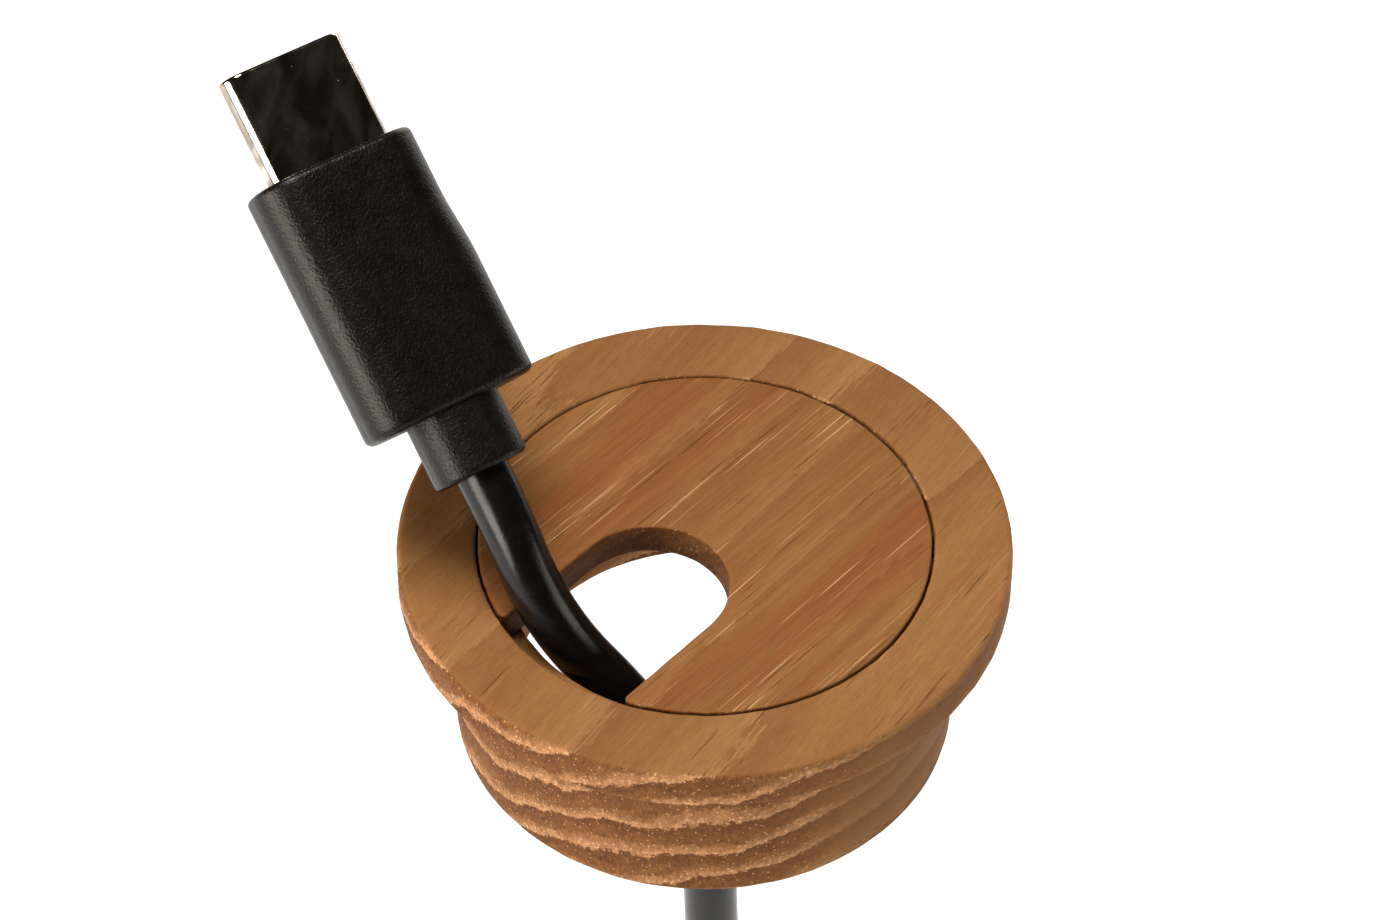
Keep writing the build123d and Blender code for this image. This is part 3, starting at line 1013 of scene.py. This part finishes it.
def make_card_lacquer():
    g = Graph("card_lacquer")
    point = g.local()
    tracks = g.cells(point, scale=1.4, feature="DISTANCE_TO_EDGE")
    weave = g.noise(point, scale=5.0, detail=2.0)
    copper = g.spread(tracks, 0.05, 0.09)
    return g.set(
        Base_Color=g.mix(copper, (0.03, 0.16, 0.07), (0.012, 0.07, 0.03)),
        Roughness=g.spread(weave, 0.3, 0.7, 0.25, 0.4),
        Normal=g.bump(tracks, 0.02),
    )


def make_wire_insulation():
    g = Graph("wire_insulation_red")
    flow = g.noise(g.local(), scale=1.5, detail=3.0)
    return g.set(
        Base_Color=g.mix(flow, (0.42, 0.03, 0.02), (0.55, 0.06, 0.04)),
        Roughness=g.spread(flow, 0.3, 0.7, 0.3, 0.42),
        Normal=g.bump(flow, 0.01),
    )


KEPT = {
    "shield_can": make_sheet_steel("can_rolled_steel", (0.62, 0.61, 0.59), 0.28),
    "insulator": make_lining(),
    "upper_contacts": make_gold(),
    "lower_contacts": make_gold(),
    "latch": make_sheet_steel("latch_spring_steel", (0.66, 0.64, 0.60), 0.24),
    "card": make_card_lacquer(),
    "wires": make_wire_insulation(),
}
for prefix, plug, body in PLUGS:
    for part, material in KEPT.items():
        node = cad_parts[f"{prefix}_{part}"]
        node.data.materials.clear()
        node.data.materials.append(material)

# ---------------------------------------------------------------- pieces that ride on the cord, gathered in a list

on_the_cord = [strap_band, strap_flap]
for prefix, plug, body in PLUGS:
    for outside in ("grip", "collar", "metal_shell"):
        on_the_cord.append(bpy.data.objects[f"{prefix}_{outside}"])
    on_the_cord += [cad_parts[f"{prefix}_{part}"] for part in KEPT]

# ---------------------------------------------------------------- floor, lights, world

FLOOR_DROP = 0.004
FLOOR_HALF = 1.6
FLOOR_GLOW = {"Emission Color": (1.0, 1.0, 1.0, 1.0), "Emission Strength": 0.74}
WORLD_PALE = (1.0, 1.0, 1.0, 1)
WORLD_DIM = (0.024, 0.019, 0.015, 1)
WHITE = (1.0, 0.97, 0.93)
WARM = (1.0, 0.94, 0.86)
AMBER = (1.0, 0.88, 0.74)
# Name, position, target, size, power and colour.
LIGHTS = (
    ("overhead", (-0.11, 0.03, 0.77), (0, 0, 0), (0.38, 0.38), 8.2, WHITE),
    ("left", (-0.50, -0.34, 0.12), (0, 0, -0.005), (0.60, 0.28), 5.3, WARM),
    ("back", (0.26, 0.62, 0.10), (0, 0, 0), (0.50, 0.30), 1.6, WARM),
    ("right", (0.56, -0.12, 0.02), (0, 0, -0.005), (0.30, 0.24), 0.8, AMBER),
)


def make_floor():
    """Plain pale floor well below the part, which hangs from a desk that isn't shown."""
    low = cad_box[0].z - FLOOR_DROP
    corners = [(-1, -1), (1, -1), (1, 1), (-1, 1)]
    mesh = bpy.data.meshes.new("floor")
    places = [(x * FLOOR_HALF, y * FLOOR_HALF, low) for x, y in corners]
    mesh.from_pydata(places, [], [(0, 1, 2, 3)])
    floor = new_object("floor", mesh)
    g = Graph("floor_pale", {"Roughness": 0.85, **FLOOR_GLOW})
    mottle = g.noise(g.local(), scale=0.02, detail=2.0)
    material = g.set(Base_Color=g.mix(mottle, triple(0.40), triple(0.42)))
    floor.data.materials.append(material)


def add_light(name, position, target, size, power, colour):
    data = bpy.data.lights.new(name, "AREA")
    data.shape = "RECTANGLE"
    data.size, data.size_y = size
    data.energy = power
    data.color = colour
    light = bpy.data.objects.new(name, data)
    scene.collection.objects.link(light)
    light.location = position
    aim = Vector(target) - Vector(position)
    light.rotation_euler = aim.to_track_quat("-Z", "Y").to_euler()


def make_world():
    """Pale to the camera, dim to everything else, like a dark studio round a lit table."""
    world = bpy.data.worlds.new("studio")
    world.use_nodes = True
    tree = world.node_tree
    tree.nodes.clear()
    output = tree.nodes.new("ShaderNodeOutputWorld")
    pale, dim = (tree.nodes.new("ShaderNodeBackground") for _ in range(2))
    pale.inputs[0].default_value = WORLD_PALE
    dim.inputs[0].default_value = WORLD_DIM
    rays = tree.nodes.new("ShaderNodeLightPath")
    mix = tree.nodes.new("ShaderNodeMixShader")
    tree.links.new(rays.outputs["Is Camera Ray"], mix.inputs[0])
    tree.links.new(dim.outputs[0], mix.inputs[1])
    tree.links.new(pale.outputs[0], mix.inputs[2])
    tree.links.new(mix.outputs[0], output.inputs[0])
    scene.world = world


make_floor()
make_world()
scene.view_settings.view_transform = "Standard"
for light in LIGHTS:
    add_light(*light)
